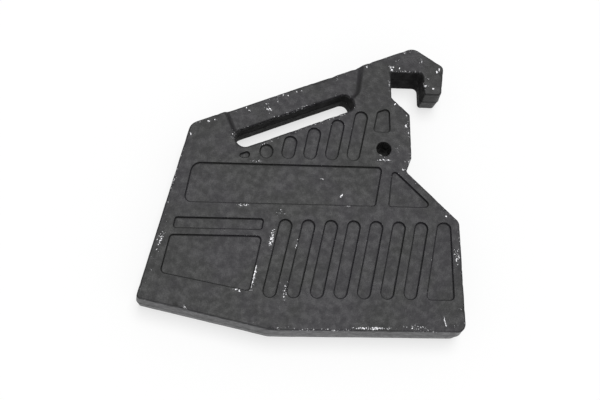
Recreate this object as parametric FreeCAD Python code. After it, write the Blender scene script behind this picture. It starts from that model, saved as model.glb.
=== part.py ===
"""Tractor suitcase weight: one grey iron casting with a hook, a grip bar and a relief face.

Units are millimetres. The casting lies on its flat back: X runs along its length, Y from its
foot up to its hook, and Z out of its relief face. The origin is under the middle of its box.

Its mould parts half way through the thickness, so every wall leans out from both faces to that
line. Outlines are drawn as the two faces have them, with their corners anticlockwise.
"""
import FreeCAD, Part
import math
import os

# Overall sizes, at the parting line
LENGTH = 440.0
HEIGHT = 415.0
THICKNESS = 52.0
WALL_DRAFT_DEG = 3.5

# Foot: a flat run, and a ramp that rises to the heel
HEEL_RISE = 40.3
HEEL_RADIUS = 5.0
RAMP_DEG = 12.9
RAMP_RADIUS = 30.0
FOOT_RADIUS = 12.0

# Left side, leaning in to the low end of the top slope
LEFT_LEAN_DEG = 14.8
TOP_LEFT_RADIUS = 16.0

# Right side: a leaning edge, a shoulder, a flank, a waist and the neck under the hook
RIGHT_LEAN_DEG = 0.6
SHOULDER_FROM_TOP = 258.7
SHOULDER_RADIUS = 12.0
FLANK_DEG = 45.0
NECK_FROM_RIGHT = 64.8
NECK_UNDERCUT = 8.4
UNDERCUT_RISE = 19.7
WAIST_RADIUS = 5.0
NECK_LOWER_RADIUS = 9.0
NECK_FROM_TOP = 101.9
NECK_UPPER_RADIUS = 5.0

# Hook: the notch that hangs on the tractor's bar, and the tip in front of it
HOOK_FROM_RIGHT = 12.8
TIP_LEAN = 5.2
TIP_WIDTH = 24.9
TIP_LENGTH = 34.0
TIP_INNER_RADIUS = 4.5
TIP_OUTER_RADIUS = 5.5
NOTCH_WIDTH = 47.5
NOTCH_FROM_TOP = 36.4
SEAT_DROP = 4.5
NOTCH_BACK_LENGTH = 40.4
NOTCH_BACK_RADIUS = 4.0
NOTCH_TIP_RADIUS = 7.0
BROW_RADIUS = 8.0

# Top: one long slope from the left corner up to the peak, then the brow down to the tip
TOP_SLOPE_DEG = 21.9
BROW_DEG = 34.0
PEAK_FROM_RIGHT = 55.6
PEAK_RADIUS = 18.0

# Grip: a slot along the top slope leaves a bar, thinned from the relief side
BAR_DEPTH = 30.6
SLOT_WIDTH = 28.3
SLOT_FROM_CORNER = 49.4
SLOT_FROM_PEAK = 115.7
SLOT_LEFT_RADIUS = 13.0
SLOT_RIGHT_RADIUS = 11.0
GRIP_RECESS = 6.0
GRIP_WALL_DEG = 35.0
GRIP_LEFT_SETBACK = 0.8
GRIP_RIGHT_SETBACK = 10.8
GRIP_RIGHT_DEG = 30.4
GRIP_SILL = 12.2
GRIP_OVERRUN = 16.0
GRIP_CORNER_RADIUS = 10.0
GRIP_FLOOR_RADIUS = 6.0
GRIP_EDGE_RADIUS = 3.0

# Rod hole under the hook
ROD_HOLE_RADIUS = 10.5
ROD_HOLE_FROM_NECK = 38.9
ROD_HOLE_ABOVE_WAIST = 31.9

# Relief: shallow pockets with leaning walls
POCKET_DEPTH = 3.5
POCKET_WALL_DEG = 14.0
POCKET_FLOOR_RADIUS = 1.2
POCKET_RIM_RADIUS = 0.8

# Panel across the middle, and the corner pocket beside it
PANEL_FROM_TOP = 182.0
PANEL_HEIGHT = 57.0
PANEL_LEFT_LAND = 18.9
PANEL_FROM_NECK = 41.7
PANEL_LEAN_DEG = 11.0
PANEL_RADII = (8.5, 5.0, 5.5, 14.0)
CORNER_POCKET_LAND = 17.6
CORNER_POCKET_LEAN_DEG = 7.5
CORNER_POCKET_RADII = (3.0, 5.0, 5.0)
FLANK_LAND = 10.8

# Lower band: strip pocket, figure box, ribs and end pocket
BAND_GAP = 21.2
STRIP_LEFT_LAND = 18.5
STRIP_LENGTH = 119.6
STRIP_HEIGHT = 15.6
STRIP_LEAN_DEG = 11.0
STRIP_RADIUS = 4.0
BOX_GAP = 8.6
BOX_LEFT_LAND = 18.9
BOX_LENGTH = 123.1
BOX_LEFT_DEG = 12.6
BOX_RIGHT_DEG = 12.1
BOX_ABOVE_FOOT = 51.4
BOX_RISE = 23.5
BOX_RADIUS = 6.0
RIB_WIDTH = 18.3
RIB_PITCH = 31.1
RIB_ABOVE_FOOT = 43.3
RIB_FROM_BOX = 31.2
RIB_FIRST_DEG = 13.2
RIB_LAST_DEG = 11.6
END_POCKET_LAND = 13.6
END_POCKET_PITCH = 32.3
END_POCKET_DEG = 10.9
END_POCKET_RADIUS = 6.0

# Upper band: ribs that climb under the slot, a small pocket at their left and one by the neck
UPPER_RIB_GAP = 8.6
UPPER_RIB_DEG = 12.3
UPPER_RIB_PITCH = 30.4
UPPER_RIB_FROM_NECK = 82.0
SLOT_LAND = 5.6
SMALL_POCKET_LAND = 6.3
SMALL_POCKET_LENGTH = 13.6
SMALL_POCKET_RISE = 5.2
SMALL_POCKET_RADII = (2.6, 4.0, 4.0, 2.6)
NECK_POCKET_LAND = 28.9
NECK_POCKET_SLOT_LAND = 14.7
NECK_POCKET_LENGTH = 24.7
NECK_POCKET_LEAN_DEG = 13.0
HOLE_LAND = 14.8
NECK_POCKET_RADII = (5.0, 5.0, 6.0, 5.0)

# Rounded edges of the casting
RIM_RADIUS = 2.5
SLOT_RIM_RADIUS = 3.0
ROD_HOLE_RIM_RADIUS = 1.0

MIDDLE = THICKNESS / 2
SPREAD = MIDDLE * math.tan(math.radians(WALL_DRAFT_DEG))
LEFT = SPREAD - LENGTH / 2
RIGHT = LENGTH / 2 - SPREAD
FOOT = SPREAD - HEIGHT / 2
TOP = HEIGHT / 2 - SPREAD
CLEAR = 1.0
NEAR = 0.01


def tan_deg(angle):
    return math.tan(math.radians(angle))


def overshoot(first_deg, second_deg, radius):
    """How far a sharp corner stands past its arc, for sides that fall away at these angles."""
    first, second = math.radians(first_deg), math.radians(second_deg)
    return radius * ((math.cos(first) + math.cos(second)) / (1 + math.cos(first + second)) - 1)


def rounded_wire(corners, z, grow=0.0):
    """Closed wire through (x, y, radius) corners, each side moved out by grow."""
    points = [FreeCAD.Vector(x, y, z) for x, y, radius in corners]
    count = len(points)
    ways = [(points[(i + 1) % count] - points[i]).normalize() for i in range(count)]
    arcs = []
    for i, (x, y, radius) in enumerate(corners):
        before, after = ways[i - 1], ways[i]
        half = before.getAngle(after) / 2
        sense = 1.0 if before.cross(after).z > 0 else -1.0
        bend = radius + sense * grow
        outward = FreeCAD.Vector(before.y + after.y, -before.x - after.x, 0).normalize()
        corner = points[i] + outward * (grow / math.cos(half))
        nearest = corner - outward * (sense * bend * (1 / math.cos(half) - 1))
        reach = bend * math.tan(half)
        arcs.append((corner - before * reach, nearest, corner + after * reach))
    edges = []
    for i, (start, nearest, end) in enumerate(arcs):
        edges.append(Part.Arc(start, nearest, end).toShape())
        following = arcs[(i + 1) % count][0]
        if end.distanceToPoint(following) > 0.001:
            edges.append(Part.makeLine(end, following))
    return Part.Wire(edges)


def solid_through(*wires):
    return Part.makeLoft(list(wires), True, True)


def edges_on(shape, target, low, high):
    """Edges whose middle lies on the target, between two heights."""
    found = []
    for edge in shape.Edges:
        middle = edge.valueAt((edge.FirstParameter + edge.LastParameter) / 2)
        if low - NEAR < middle.z < high + NEAR and Part.Vertex(middle).distToShape(target)[0] < NEAR:
            found.append(edge)
    return found


def recess(corners, depth, wall_deg, floor_radius):
    """Cutting solid of a recess whose corners lie on the relief face."""
    lean = tan_deg(wall_deg)
    floor = rounded_wire(corners, THICKNESS - depth, -depth * lean)
    tool = solid_through(floor, rounded_wire(corners, THICKNESS + CLEAR, CLEAR * lean))
    return tool.makeFillet(floor_radius, edges_on(tool, floor, 0, THICKNESS - depth))


def side_wall(corners, grow):
    """The walls from the parting line up to the relief face."""
    band = solid_through(rounded_wire(corners, MIDDLE, grow), rounded_wire(corners, THICKNESS))
    return Part.Compound([face for face in band.Faces if abs(face.normalAt(0, 0).z) < 0.5])


def rounded_rims(shape, front, rear, grow, radius):
    """The shape with the rims of its walls rounded on both faces."""
    rim = edges_on(shape, side_wall(front, grow), THICKNESS - GRIP_RECESS, THICKNESS)
    shape = shape.makeFillet(radius, rim)
    return shape.makeFillet(radius, edges_on(shape, rounded_wire(rear, 0), 0, 0))


def rib(low, high):
    """Corners of a round-ended rib pocket between its two end centres."""
    half = RIB_WIDTH / 2
    run, rise = high[0] - low[0], high[1] - low[1]
    along = FreeCAD.Vector(run, rise, 0).normalize() * half
    corners = []
    for end, way, side in ((low, -1, -1), (low, -1, 1), (high, 1, 1), (high, 1, -1)):
        corners.append((end[0] + way * along.x + side * along.y,
                        end[1] + way * along.y - side * along.x, half))
    return corners


# Outline of both faces
shoulder_y = TOP - SHOULDER_FROM_TOP
foot_x = RIGHT + overshoot(RIGHT_LEAN_DEG, 90, FOOT_RADIUS)
shoulder_x = foot_x - (shoulder_y - FOOT) * tan_deg(RIGHT_LEAN_DEG)
neck_x = RIGHT - NECK_FROM_RIGHT
waist_x = neck_x - NECK_UNDERCUT
waist_y = shoulder_y + (shoulder_x - waist_x) * tan_deg(FLANK_DEG)
ceiling = TOP - NOTCH_FROM_TOP
brow_x = RIGHT - HOOK_FROM_RIGHT
tip_x = brow_x - TIP_LEAN
notch_tip_x = tip_x - TIP_WIDTH
notch_x = notch_tip_x - NOTCH_WIDTH
peak_x = RIGHT - PEAK_FROM_RIGHT
peak_y = TOP + overshoot(TOP_SLOPE_DEG, BROW_DEG, PEAK_RADIUS)
heel_x = LEFT - overshoot(LEFT_LEAN_DEG, 90 - RAMP_DEG, HEEL_RADIUS)
heel_y = FOOT + HEEL_RISE


def left_x(y):
    """The left side's place at a height."""
    return heel_x + (y - heel_y) * tan_deg(LEFT_LEAN_DEG)


corner_y = (peak_y - (peak_x - left_x(0)) * tan_deg(TOP_SLOPE_DEG)) / (
    1 - tan_deg(LEFT_LEAN_DEG) * tan_deg(TOP_SLOPE_DEG))
corner_x = left_x(corner_y)


def outline(seat):
    """Corners of a face whose notch has its seat at this height."""
    return [
        (heel_x, heel_y, HEEL_RADIUS),
        (heel_x + HEEL_RISE / tan_deg(RAMP_DEG), FOOT, RAMP_RADIUS),
        (foot_x, FOOT, FOOT_RADIUS),
        (shoulder_x, shoulder_y, SHOULDER_RADIUS),
        (waist_x, waist_y, WAIST_RADIUS),
        (neck_x, waist_y + UNDERCUT_RISE, NECK_LOWER_RADIUS),
        (neck_x, TOP - NECK_FROM_TOP, NECK_UPPER_RADIUS),
        (notch_x, ceiling - NOTCH_BACK_LENGTH, NOTCH_BACK_RADIUS),
        (notch_x, seat, NOTCH_BACK_RADIUS),
        (notch_tip_x, seat, NOTCH_TIP_RADIUS),
        (notch_tip_x, ceiling - TIP_LENGTH, TIP_INNER_RADIUS),
        (tip_x, ceiling - TIP_LENGTH, TIP_OUTER_RADIUS),
        (brow_x, peak_y - (brow_x - peak_x) * tan_deg(BROW_DEG), BROW_RADIUS),
        (peak_x, peak_y, PEAK_RADIUS),
        (corner_x, corner_y, TOP_LEFT_RADIUS),
    ]


face = outline(ceiling)
back = outline(ceiling - SEAT_DROP)
casting = solid_through(
    rounded_wire(back, 0), rounded_wire(face, MIDDLE, SPREAD), rounded_wire(face, THICKNESS))

# Grip slot, laid out along the top slope from the left corner
slope_x = math.cos(math.radians(TOP_SLOPE_DEG))
slope_y = math.sin(math.radians(TOP_SLOPE_DEG))


def on_slope(along, depth):
    """Point at a distance along the top slope and a depth under it."""
    return corner_x + along * slope_x + depth * slope_y, corner_y + along * slope_y - depth * slope_x


def climb(x, y, lean_deg, depth):
    """Rise of a leaning line from a point to the line at a depth under the top slope."""
    line_x, line_y = on_slope(0, depth)
    slope = tan_deg(TOP_SLOPE_DEG)
    return (line_y + (x - line_x) * slope - y) / (1 - tan_deg(lean_deg) * slope)


slot_end = (peak_x - corner_x) / slope_x - SLOT_FROM_PEAK
slot_bottom = BAR_DEPTH + SLOT_WIDTH
slot = [
    (*on_slope(SLOT_FROM_CORNER, slot_bottom), SLOT_LEFT_RADIUS),
    (*on_slope(slot_end, slot_bottom), SLOT_RIGHT_RADIUS),
    (*on_slope(slot_end, BAR_DEPTH), SLOT_RIGHT_RADIUS),
    (*on_slope(SLOT_FROM_CORNER, BAR_DEPTH), SLOT_LEFT_RADIUS),
]
casting = casting.cut(solid_through(
    rounded_wire(slot, 0), rounded_wire(slot, MIDDLE, -SPREAD), rounded_wire(slot, THICKNESS)))

hole_x = neck_x - ROD_HOLE_FROM_NECK
hole_y = waist_y + ROD_HOLE_ABOVE_WAIST
casting = casting.cut(Part.makeCylinder(ROD_HOLE_RADIUS, THICKNESS, FreeCAD.Vector(hole_x, hole_y, 0)))

# Thinned grip: a shallow recess across the bar, down to a sill inside the slot
grip_left = SLOT_FROM_CORNER + GRIP_LEFT_SETBACK
grip_right = slot_end + GRIP_RIGHT_SETBACK
grip_bottom = BAR_DEPTH + GRIP_SILL
grip_top_right = grip_right + (grip_bottom + GRIP_OVERRUN) * tan_deg(GRIP_RIGHT_DEG)
grip = [
    (*on_slope(grip_left, grip_bottom), GRIP_CORNER_RADIUS),
    (*on_slope(grip_right, grip_bottom), GRIP_CORNER_RADIUS),
    (*on_slope(grip_top_right, -GRIP_OVERRUN), GRIP_CORNER_RADIUS),
    (*on_slope(grip_left, -GRIP_OVERRUN), GRIP_CORNER_RADIUS),
]
casting = casting.cut(recess(grip, GRIP_RECESS, GRIP_WALL_DEG, GRIP_FLOOR_RADIUS))
grip_rim = edges_on(casting, rounded_wire(grip, THICKNESS), THICKNESS, THICKNESS)
casting = casting.makeFillet(GRIP_EDGE_RADIUS, grip_rim)
casting = rounded_rims(casting, face, back, SPREAD, RIM_RADIUS)
casting = rounded_rims(casting, slot, slot, -SPREAD, SLOT_RIM_RADIUS)
for level in (0, THICKNESS):
    ring = Part.makeCircle(ROD_HOLE_RADIUS, FreeCAD.Vector(hole_x, hole_y, level))
    casting = casting.makeFillet(ROD_HOLE_RIM_RADIUS, edges_on(casting, ring, level, level))

# Panel and corner pocket
panel_top = TOP - PANEL_FROM_TOP
panel_bottom = panel_top - PANEL_HEIGHT
panel_lean = PANEL_HEIGHT * tan_deg(PANEL_LEAN_DEG)
panel_left = left_x(panel_top) + PANEL_LEFT_LAND
panel_right = neck_x - PANEL_FROM_NECK
panel = [
    (panel_left - panel_lean, panel_bottom, PANEL_RADII[0]),
    (panel_right - panel_lean, panel_bottom, PANEL_RADII[1]),
    (panel_right, panel_top, PANEL_RADII[2]),
    (panel_left, panel_top, PANEL_RADII[3]),
]
side_x = panel_right - panel_lean + CORNER_POCKET_LAND
side_lean = tan_deg(CORNER_POCKET_LEAN_DEG)
flank_x = (shoulder_x - FLANK_LAND / math.sin(math.radians(FLANK_DEG))
           - (panel_bottom - shoulder_y) / tan_deg(FLANK_DEG))
corner_rise = (flank_x - side_x) / (side_lean + 1 / tan_deg(FLANK_DEG))
corner_pocket = [
    (side_x, panel_bottom, CORNER_POCKET_RADII[0]),
    (flank_x, panel_bottom, CORNER_POCKET_RADII[1]),
    (side_x + corner_rise * side_lean, panel_bottom + corner_rise, CORNER_POCKET_RADII[2]),
]

# Lower band
band_top = panel_bottom - BAND_GAP
strip_bottom = band_top - STRIP_HEIGHT
strip_left = left_x(band_top) + STRIP_LEFT_LAND
strip_lean = STRIP_HEIGHT * tan_deg(STRIP_LEAN_DEG)
strip = [
    (strip_left - strip_lean, strip_bottom, STRIP_RADIUS),
    (strip_left - strip_lean + STRIP_LENGTH, strip_bottom, STRIP_RADIUS),
    (strip_left + STRIP_LENGTH, band_top, STRIP_RADIUS),
    (strip_left, band_top, STRIP_RADIUS),
]
box_top = strip_bottom - BOX_GAP
box_bottom = FOOT + BOX_ABOVE_FOOT
box_left = left_x(box_top) + BOX_LEFT_LAND
box_right = box_left + BOX_LENGTH
box_low_left = box_bottom + BOX_RISE
figure_box = [
    (box_left - (box_top - box_low_left) * tan_deg(BOX_LEFT_DEG), box_low_left, BOX_RADIUS),
    (box_right - (box_top - box_bottom) * tan_deg(BOX_RIGHT_DEG), box_bottom, BOX_RADIUS),
    (box_right, box_top, BOX_RADIUS),
    (box_left, box_top, BOX_RADIUS),
]
rib_bottom = FOOT + RIB_ABOVE_FOOT
rib_high = band_top - RIB_WIDTH / 2
rib_low = rib_bottom + RIB_WIDTH / 2
end_right = RIGHT - END_POCKET_LAND
end_left = end_right - RIB_WIDTH
end_lean = (band_top - rib_bottom) * tan_deg(END_POCKET_DEG)
end_pocket = [
    (end_left - end_lean, rib_bottom, END_POCKET_RADIUS),
    (end_right, rib_bottom, END_POCKET_RADIUS),
    (end_right, band_top, RIB_WIDTH / 2),
    (end_left, band_top, RIB_WIDTH / 2),
]
first_rib = box_right + RIB_FROM_BOX
last_rib = end_right - RIB_WIDTH / 2 - END_POCKET_PITCH
rib_steps = round((last_rib - first_rib) / RIB_PITCH)
pockets = [panel, corner_pocket, strip, figure_box, end_pocket]
for step in range(rib_steps + 1):
    share = step / rib_steps
    rib_x = first_rib + share * (last_rib - first_rib)
    slant = tan_deg(RIB_FIRST_DEG + share * (RIB_LAST_DEG - RIB_FIRST_DEG))
    pockets.append(rib((rib_x - (rib_high - rib_low) * slant, rib_low), (rib_x, rib_high)))

# Upper band: the ribs stop where the slot no longer leaves room for a round one
upper_bottom = panel_top + UPPER_RIB_GAP
upper_low = upper_bottom + RIB_WIDTH / 2
cap_depth = slot_bottom + SLOT_LAND + RIB_WIDTH / 2
rib_x = neck_x - UPPER_RIB_FROM_NECK
rise = climb(rib_x, upper_low, UPPER_RIB_DEG, cap_depth)
while rise > 0:
    pockets.append(rib((rib_x, upper_low), (rib_x + rise * tan_deg(UPPER_RIB_DEG), upper_low + rise)))
    rib_x -= UPPER_RIB_PITCH
    rise = climb(rib_x, upper_low, UPPER_RIB_DEG, cap_depth)
small_depth = slot_bottom + SMALL_POCKET_LAND
small_left = -climb(0, upper_bottom + SMALL_POCKET_RISE, 0, small_depth) / tan_deg(TOP_SLOPE_DEG)
small_right = small_left + SMALL_POCKET_LENGTH
pockets.append([
    (small_left, upper_bottom, SMALL_POCKET_RADII[0]),
    (small_right, upper_bottom, SMALL_POCKET_RADII[1]),
    (small_right, upper_bottom + climb(small_right, upper_bottom, 0, small_depth), SMALL_POCKET_RADII[2]),
    (small_left, upper_bottom + SMALL_POCKET_RISE, SMALL_POCKET_RADII[3]),
])
neck_pocket_depth = slot_bottom + NECK_POCKET_SLOT_LAND
neck_pocket_right = neck_x - NECK_POCKET_LAND
neck_pocket_left = neck_pocket_right - NECK_POCKET_LENGTH
neck_pocket_bottom = hole_y + ROD_HOLE_RADIUS + HOLE_LAND
left_rise = climb(neck_pocket_left, neck_pocket_bottom, NECK_POCKET_LEAN_DEG, neck_pocket_depth)
right_rise = climb(neck_pocket_right, neck_pocket_bottom, 0, neck_pocket_depth)
pockets.append([
    (neck_pocket_left, neck_pocket_bottom, NECK_POCKET_RADII[0]),
    (neck_pocket_right, neck_pocket_bottom, NECK_POCKET_RADII[1]),
    (neck_pocket_right, neck_pocket_bottom + right_rise, NECK_POCKET_RADII[2]),
    (neck_pocket_left + left_rise * tan_deg(NECK_POCKET_LEAN_DEG), neck_pocket_bottom + left_rise,
     NECK_POCKET_RADII[3]),
])

for corners in pockets:
    casting = casting.cut(recess(corners, POCKET_DEPTH, POCKET_WALL_DEG, POCKET_FLOOR_RADIUS))
rims = Part.Compound([rounded_wire(corners, THICKNESS) for corners in pockets])
casting = casting.makeFillet(POCKET_RIM_RADIUS, edges_on(casting, rims, THICKNESS, THICKNESS))

os.makedirs("parts", exist_ok=True)
casting.exportStep("parts/suitcase_weight.step")
print("valid", casting.isValid(), "solids", len(casting.Solids), "kg", round(casting.Volume * 7.2e-6, 2))
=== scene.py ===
import math
import bpy
import numpy as np
from mathutils.geometry import delaunay_2d_cdt
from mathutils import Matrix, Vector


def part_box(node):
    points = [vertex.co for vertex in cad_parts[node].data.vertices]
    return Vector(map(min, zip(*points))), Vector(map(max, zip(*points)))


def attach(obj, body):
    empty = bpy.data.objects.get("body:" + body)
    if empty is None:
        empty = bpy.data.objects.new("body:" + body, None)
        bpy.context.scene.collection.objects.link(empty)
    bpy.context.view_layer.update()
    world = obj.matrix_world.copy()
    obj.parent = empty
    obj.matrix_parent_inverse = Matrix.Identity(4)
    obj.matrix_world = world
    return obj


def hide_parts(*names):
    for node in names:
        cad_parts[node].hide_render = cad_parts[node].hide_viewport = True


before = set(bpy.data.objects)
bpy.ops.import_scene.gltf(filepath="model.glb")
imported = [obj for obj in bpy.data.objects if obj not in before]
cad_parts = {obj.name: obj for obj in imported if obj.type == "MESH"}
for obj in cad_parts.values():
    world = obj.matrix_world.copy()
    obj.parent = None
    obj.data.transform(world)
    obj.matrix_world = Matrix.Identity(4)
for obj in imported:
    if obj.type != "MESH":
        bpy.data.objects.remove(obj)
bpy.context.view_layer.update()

# A tractor's suitcase weight: one black painted iron casting, lying on its flat back. Its surface is worked
# out in millimetres about the middle of its box, and turned into metres when the mesh is made.
MM = 0.001
LOW, HIGH = (np.array(corner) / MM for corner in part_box("suitcase_weight"))
MIDDLE = (LOW + HIGH)[:2] / 2
LENGTH, HEIGHT, THICK = HIGH - LOW
PARTING = THICK / 2
WALL_DRAFT_DEG = 3.5
SPREAD = PARTING * math.tan(math.radians(WALL_DRAFT_DEG))
LEFT = SPREAD - LENGTH / 2
RIGHT = LENGTH / 2 - SPREAD
FOOT = SPREAD - HEIGHT / 2
TOP = HEIGHT / 2 - SPREAD

# Surface: the ragged flash at the parting line, the skin allowed for unevenness, the flat lip beside a rim,
# how far below the notch's ceiling the seat's fall begins and is complete, and the points' spacing
FLASH = 0.55
FLASH_HALF_HEIGHT = 1.4
SKIN = 0.28
LIP = 0.45
SEAT_FALL_BEGINS = 26.5
SEAT_FALL_WHOLE = 7.5
OUTLINE_STEP = 2.3
SLOT_STEP = 1.9
POCKET_STEP = 2.3

# Foot: a flat run, and a ramp that rises to the heel
HEEL_RISE = 40.3
HEEL_RADIUS = 5.0
RAMP_DEG = 12.9
RAMP_RADIUS = 30.0
FOOT_RADIUS = 12.0

# Left side, leaning in to the low end of the top slope
LEFT_LEAN_DEG = 14.8
TOP_LEFT_RADIUS = 16.0

# Right side: a leaning edge, a shoulder, a flank, a waist and the neck under the hook
RIGHT_LEAN_DEG = 0.6
SHOULDER_FROM_TOP = 258.7
SHOULDER_RADIUS = 12.0
FLANK_DEG = 45.0
NECK_FROM_RIGHT = 64.8
NECK_UNDERCUT = 8.4
UNDERCUT_RISE = 19.7
WAIST_RADIUS = 5.0
NECK_LOWER_RADIUS = 9.0
NECK_FROM_TOP = 101.9
NECK_UPPER_RADIUS = 5.0

# Hook: the notch that hangs on the tractor's bar, and the tip in front of it
HOOK_FROM_RIGHT = 12.8
TIP_LEAN = 5.2
TIP_WIDTH = 24.9
TIP_LENGTH = 34.0
TIP_INNER_RADIUS = 4.5
TIP_OUTER_RADIUS = 5.5
NOTCH_WIDTH = 47.5
NOTCH_FROM_TOP = 36.4
SEAT_DROP = 4.5
NOTCH_BACK_LENGTH = 40.4
NOTCH_BACK_RADIUS = 4.0
NOTCH_TIP_RADIUS = 7.0
BROW_RADIUS = 8.0

# Top: one long slope from the left corner up to the peak, then the brow down to the tip
TOP_SLOPE_DEG = 21.9
BROW_DEG = 34.0
PEAK_FROM_RIGHT = 55.6
PEAK_RADIUS = 18.0

# Grip: a slot along the top slope leaves a bar, thinned from the relief side
BAR_DEPTH = 30.6
SLOT_WIDTH = 28.3
SLOT_FROM_CORNER = 49.4
SLOT_FROM_PEAK = 115.7
SLOT_LEFT_RADIUS = 13.0
SLOT_RIGHT_RADIUS = 11.0
GRIP_RECESS = 6.0
GRIP_WALL_DEG = 35.0
GRIP_LEFT_SETBACK = 0.8
GRIP_RIGHT_SETBACK = 10.8
GRIP_RIGHT_DEG = 30.4
GRIP_SILL = 12.2
GRIP_OVERRUN = 16.0
GRIP_CORNER_RADIUS = 10.0
GRIP_FLOOR_RADIUS = 6.0
GRIP_EDGE_RADIUS = 3.0

# Rod hole under the hook
ROD_HOLE_RADIUS = 10.5
ROD_HOLE_FROM_NECK = 38.9
ROD_HOLE_ABOVE_WAIST = 31.9

# Relief: shallow pockets with leaning walls
POCKET_DEPTH = 3.5
POCKET_WALL_DEG = 14.0
POCKET_FLOOR_RADIUS = 1.2
POCKET_RIM_RADIUS = 0.8

# Panel across the middle, and the corner pocket beside it
PANEL_FROM_TOP = 182.0
PANEL_HEIGHT = 57.0
PANEL_LEFT_LAND = 18.9
PANEL_FROM_NECK = 41.7
PANEL_LEAN_DEG = 11.0
PANEL_RADII = (8.5, 5.0, 5.5, 14.0)
CORNER_POCKET_LAND = 17.6
CORNER_POCKET_LEAN_DEG = 7.5
CORNER_POCKET_RADII = (3.0, 5.0, 5.0)
FLANK_LAND = 10.8

# Lower band: strip pocket, figure box, ribs and end pocket
BAND_GAP = 21.2
STRIP_LEFT_LAND = 18.5
STRIP_LENGTH = 119.6
STRIP_HEIGHT = 15.6
STRIP_LEAN_DEG = 11.0
STRIP_RADIUS = 4.0
BOX_GAP = 8.6
BOX_LEFT_LAND = 18.9
BOX_LENGTH = 123.1
BOX_LEFT_DEG = 12.6
BOX_RIGHT_DEG = 12.1
BOX_ABOVE_FOOT = 51.4
BOX_RISE = 23.5
BOX_RADIUS = 6.0
RIB_WIDTH = 18.3
RIB_PITCH = 31.1
RIB_ABOVE_FOOT = 43.3
RIB_FROM_BOX = 31.2
RIB_FIRST_DEG = 13.2
RIB_LAST_DEG = 11.6
END_POCKET_LAND = 13.6
END_POCKET_PITCH = 32.3
END_POCKET_DEG = 10.9
END_POCKET_RADIUS = 6.0

# Upper band: ribs that climb under the slot, a small pocket at their left and one by the neck
UPPER_RIB_GAP = 8.6
UPPER_RIB_DEG = 12.3
UPPER_RIB_PITCH = 30.4
UPPER_RIB_FROM_NECK = 82.0
SLOT_LAND = 5.6
SMALL_POCKET_LAND = 6.3
SMALL_POCKET_LENGTH = 13.6
SMALL_POCKET_RISE = 5.2
SMALL_POCKET_RADII = (2.6, 4.0, 4.0, 2.6)
NECK_POCKET_LAND = 28.9
NECK_POCKET_SLOT_LAND = 14.7
NECK_POCKET_LENGTH = 24.7
NECK_POCKET_LEAN_DEG = 13.0
HOLE_LAND = 14.8
NECK_POCKET_RADII = (5.0, 5.0, 6.0, 5.0)

# Rounded edges of the casting
RIM_RADIUS = 2.5
SLOT_RIM_RADIUS = 3.0
ROD_HOLE_RIM_RADIUS = 1.0

dice = np.random.default_rng(45)


def tan_deg(angle):
    return math.tan(math.radians(angle))


def overshoot(first_deg, second_deg, radius):
    """How far a sharp corner stands past its arc, for sides that fall away at these angles."""
    first, second = math.radians(first_deg), math.radians(second_deg)
    return radius * ((math.cos(first) + math.cos(second)) / (1 + math.cos(first + second)) - 1)


# Outline of the relief face
shoulder_y = TOP - SHOULDER_FROM_TOP
foot_x = RIGHT + overshoot(RIGHT_LEAN_DEG, 90, FOOT_RADIUS)
shoulder_x = foot_x - (shoulder_y - FOOT) * tan_deg(RIGHT_LEAN_DEG)
neck_x = RIGHT - NECK_FROM_RIGHT
waist_x = neck_x - NECK_UNDERCUT
waist_y = shoulder_y + (shoulder_x - waist_x) * tan_deg(FLANK_DEG)
ceiling = TOP - NOTCH_FROM_TOP
brow_x = RIGHT - HOOK_FROM_RIGHT
tip_x = brow_x - TIP_LEAN
notch_tip_x = tip_x - TIP_WIDTH
notch_x = notch_tip_x - NOTCH_WIDTH
peak_x = RIGHT - PEAK_FROM_RIGHT
peak_y = TOP + overshoot(TOP_SLOPE_DEG, BROW_DEG, PEAK_RADIUS)
heel_x = LEFT - overshoot(LEFT_LEAN_DEG, 90 - RAMP_DEG, HEEL_RADIUS)
heel_y = FOOT + HEEL_RISE


def left_x(y):
    """The left side's place at a height."""
    return heel_x + (y - heel_y) * tan_deg(LEFT_LEAN_DEG)


corner_y = (peak_y - (peak_x - left_x(0)) * tan_deg(TOP_SLOPE_DEG)) / (
    1 - tan_deg(LEFT_LEAN_DEG) * tan_deg(TOP_SLOPE_DEG))
corner_x = left_x(corner_y)
OUTLINE = [
    (heel_x, heel_y, HEEL_RADIUS),
    (heel_x + HEEL_RISE / tan_deg(RAMP_DEG), FOOT, RAMP_RADIUS),
    (foot_x, FOOT, FOOT_RADIUS),
    (shoulder_x, shoulder_y, SHOULDER_RADIUS),
    (waist_x, waist_y, WAIST_RADIUS),
    (neck_x, waist_y + UNDERCUT_RISE, NECK_LOWER_RADIUS),
    (neck_x, TOP - NECK_FROM_TOP, NECK_UPPER_RADIUS),
    (notch_x, ceiling - NOTCH_BACK_LENGTH, NOTCH_BACK_RADIUS),
    (notch_x, ceiling, NOTCH_BACK_RADIUS),
    (notch_tip_x, ceiling, NOTCH_TIP_RADIUS),
    (notch_tip_x, ceiling - TIP_LENGTH, TIP_INNER_RADIUS),
    (tip_x, ceiling - TIP_LENGTH, TIP_OUTER_RADIUS),
    (brow_x, peak_y - (brow_x - peak_x) * tan_deg(BROW_DEG), BROW_RADIUS),
    (peak_x, peak_y, PEAK_RADIUS),
    (corner_x, corner_y, TOP_LEFT_RADIUS),
]

# Grip slot, laid out along the top slope from the left corner
slope_x = math.cos(math.radians(TOP_SLOPE_DEG))
slope_y = math.sin(math.radians(TOP_SLOPE_DEG))


def on_slope(along, depth):
    """Point at a distance along the top slope and a depth under it."""
    return corner_x + along * slope_x + depth * slope_y, corner_y + along * slope_y - depth * slope_x


def climb(x, y, lean_deg, depth):
    """Rise of a leaning line from a point to the line at a depth under the top slope."""
    line_x, line_y = on_slope(0, depth)
    slope = tan_deg(TOP_SLOPE_DEG)
    return (line_y + (x - line_x) * slope - y) / (1 - tan_deg(lean_deg) * slope)


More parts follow.
